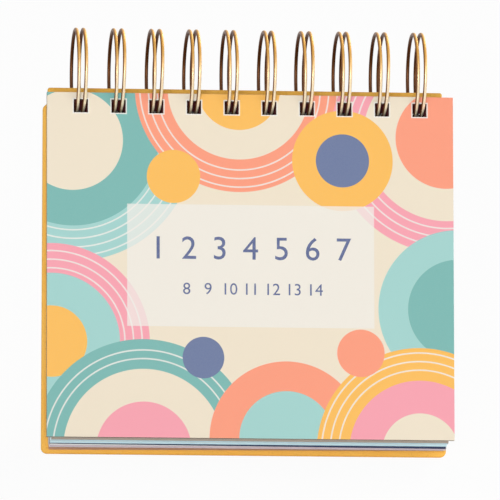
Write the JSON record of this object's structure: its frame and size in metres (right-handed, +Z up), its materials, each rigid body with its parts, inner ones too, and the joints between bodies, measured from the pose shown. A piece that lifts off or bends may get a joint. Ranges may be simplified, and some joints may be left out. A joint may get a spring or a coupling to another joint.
{
  "type": "day calendar",
  "caption": "Wire-bound desk day calendar with a printed hard cover, packets of day leaves on gold twin-loop rings and a folding easel leg on its back board.",
  "frame": {"origin": "on the desk, under the middle of the object's box", "axes": "+X along the rings, -Y towards the reader, +Z up"},
  "size_m": [0.137, 0.0792, 0.1399],
  "materials": {
    "gold_wire": "gold-coloured plated wire",
    "cover_print": "matt laminated print",
    "greyboard": "raw cut board",
    "lining_paper": "matt paper",
    "title_paper": "matt printed paper",
    "leaf_paper": "matt uncoated paper",
    "end_card": "dark matt card",
    "yellow_wrap": "board wrapped in matt paper",
    "hinge_cloth": "fine woven bookcloth"
  },
  "bodies": {
    "stand": {"binding_wire": "gold_wire", "back_board": "yellow_wrap", "back_endpaper": "lining_paper", "hinge_strip": "yellow_wrap", "hinge_cloth_upper": "hinge_cloth"},
    "leg": {"easel_leg": "yellow_wrap", "hinge_cloth_lower": "hinge_cloth"},
    "second_half": {"month_leaves_07": "leaf_paper", "month_leaves_08": "leaf_paper", "month_leaves_09": "leaf_paper", "month_leaves_10": "leaf_paper", "month_leaves_11": "leaf_paper", "month_leaves_12": "leaf_paper", "end_card": "end_card"},
    "first_half": {"title_leaf": "title_paper", "month_leaves_01": "leaf_paper", "month_leaves_02": "leaf_paper", "month_leaves_03": "leaf_paper", "month_leaves_04": "leaf_paper", "month_leaves_05": "leaf_paper", "month_leaves_06": "leaf_paper"},
    "cover": {"cover_print": "cover_print", "cover_board": "greyboard", "cover_lining": "lining_paper"}
  },
  "joints": [
    {"name": "leg_fold", "type": "hinge", "parent": "stand", "child": "leg", "pos_m": [0, 0.01159, 0.09048], "axis": [-1, 0, 0], "range_deg": [0, 33.5]},
    {"name": "second_half_turn", "type": "hinge", "parent": "stand", "child": "second_half", "pos_m": [0, 0.01142, 0.12523], "axis": [-1, 0, 0], "range_deg": [0, 250]},
    {"name": "first_half_turn", "type": "hinge", "parent": "second_half", "child": "first_half", "pos_m": [0, 0.01142, 0.12523], "axis": [-1, 0, 0], "range_deg": [0, 250]},
    {"name": "cover_turn", "type": "hinge", "parent": "first_half", "child": "cover", "pos_m": [0, 0.01142, 0.12523], "axis": [-1, 0, 0], "range_deg": [0, 250]}
  ]
}
